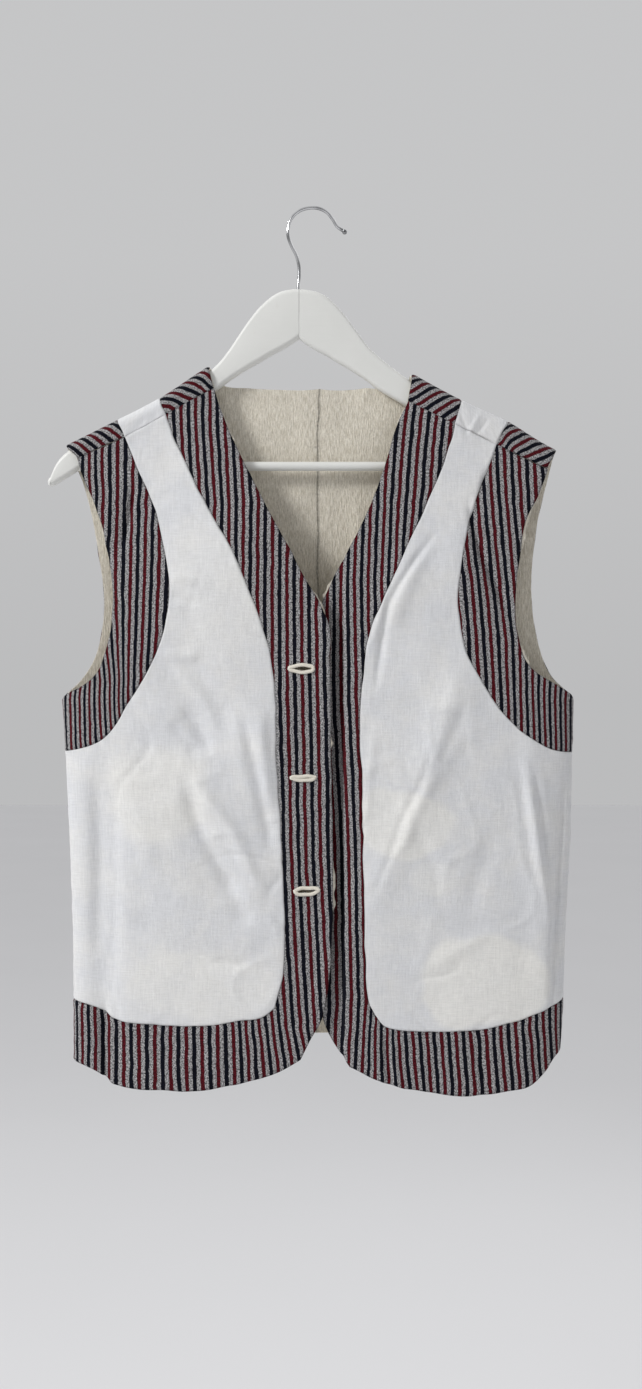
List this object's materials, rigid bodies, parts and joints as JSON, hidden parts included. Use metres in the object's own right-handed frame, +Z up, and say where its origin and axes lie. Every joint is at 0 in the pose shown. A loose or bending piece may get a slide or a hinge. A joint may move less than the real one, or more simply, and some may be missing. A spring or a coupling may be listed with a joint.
{
  "type": "folk dress vest on a clothes hanger",
  "caption": "Sleeveless open V-neck vest, white cotton with striped bands at neck, front edges, hem and armholes, hung on a white wooden hanger with a wire hook.",
  "frame": {"origin": "the inner top of the hook's bend, where a rail or peg would carry it", "axes": "+Z up, the fronts face -Y, +X towards the wearer's left, which is the viewer's right"},
  "size_m": [0.4789, 0.0655, 0.8066],
  "materials": {
    "white_cotton": "plain weave, matte, lightly creased",
    "striped_cotton": "woven grey, navy and dark red stripes, matte",
    "cream_lining": "unbleached crinkled cotton, matte",
    "cream_cord": "hand-worked corded thread",
    "button": "plain disc, hidden",
    "painted_wood": "white satin paint",
    "chrome_wire": "polished"
  },
  "bodies": {
    "root": {"front_right_panel": "white_cotton", "front_left_panel": "white_cotton", "front_right_band": "striped_cotton", "front_left_band": "striped_cotton", "front_right_armhole": "striped_cotton", "front_left_armhole": "striped_cotton", "back_panel": "white_cotton", "back_neck": "striped_cotton", "back_hem": "striped_cotton", "back_right_armhole": "striped_cotton", "back_left_armhole": "striped_cotton", "lining_right": "cream_lining", "lining_left": "cream_lining", "buttonhole_top": "cream_cord", "buttonhole_middle": "cream_cord", "buttonhole_bottom": "cream_cord", "button_top": "button", "button_middle": "button", "button_bottom": "button", "hanger_right_half": "painted_wood", "hanger_left_half": "painted_wood", "trouser_bar": "painted_wood", "hook": "chrome_wire"}
  },
  "joints": []
}
